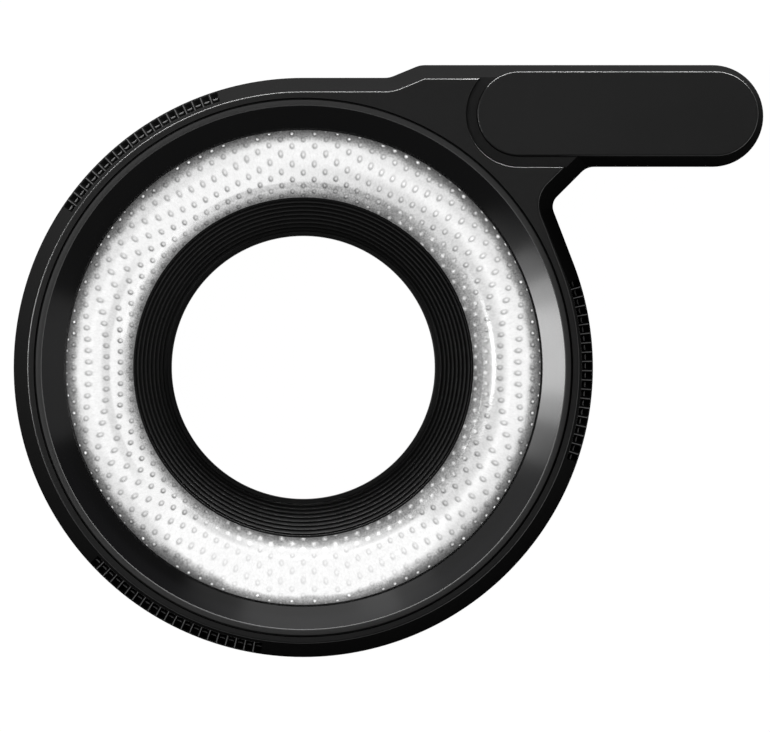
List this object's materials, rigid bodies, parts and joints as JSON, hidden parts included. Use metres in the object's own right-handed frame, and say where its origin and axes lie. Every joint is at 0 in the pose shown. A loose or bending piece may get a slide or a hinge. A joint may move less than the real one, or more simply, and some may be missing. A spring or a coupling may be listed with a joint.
{
  "type": "macro light guide",
  "caption": "Ring-shaped light guide that clips round a compact camera's lens and spreads its lamp through a clear domed ring, with a side arm and pod.",
  "frame": {"origin": "on the lens axis, at the rear face that seats on the camera", "axes": "+Z along the lens axis to the front, +X along the arm towards the pod, +Y across the arm"},
  "size_m": [0.0647, 0.0511, 0.0112],
  "materials": {
    "shell_black": "fine satin moulded black polycarbonate",
    "bezel_gloss": "gloss black moulding",
    "baffle_black": "matte black, turned ribs",
    "mount_black": "fine satin moulded black",
    "inner_black": "plain moulded black",
    "clear_ring": "clear acrylic moulding with bead dots",
    "guide_clear": "clear acrylic light guide",
    "window_clear": "clear acrylic",
    "film": "white diffusing film",
    "reflector_white": "white moulding",
    "foil": "reflective foil",
    "tape": "double-sided adhesive tape",
    "foam": "closed-cell foam",
    "screw_black": "blackened steel"
  },
  "bodies": {
    "root": {"front_shell": "shell_black", "bezel_ring": "bezel_gloss", "bezel_tape": "tape", "lens_ring": "clear_ring", "diffusion_film": "film", "light_guide": "guide_clear", "reflector_tray": "reflector_white", "arm_reflector": "reflector_white", "prism_mirror": "foil", "prism_holder": "inner_black", "baffle_ring": "baffle_black", "core_frame": "inner_black", "mount_ring": "mount_black", "mount_screws": "screw_black", "arm_rear_cover": "mount_black", "arm_cover_screws": "screw_black", "inlet_window": "window_clear", "inlet_light_seal": "foam", "pod_cap": "shell_black", "pod_cap_tape": "tape"}
  },
  "joints": []
}
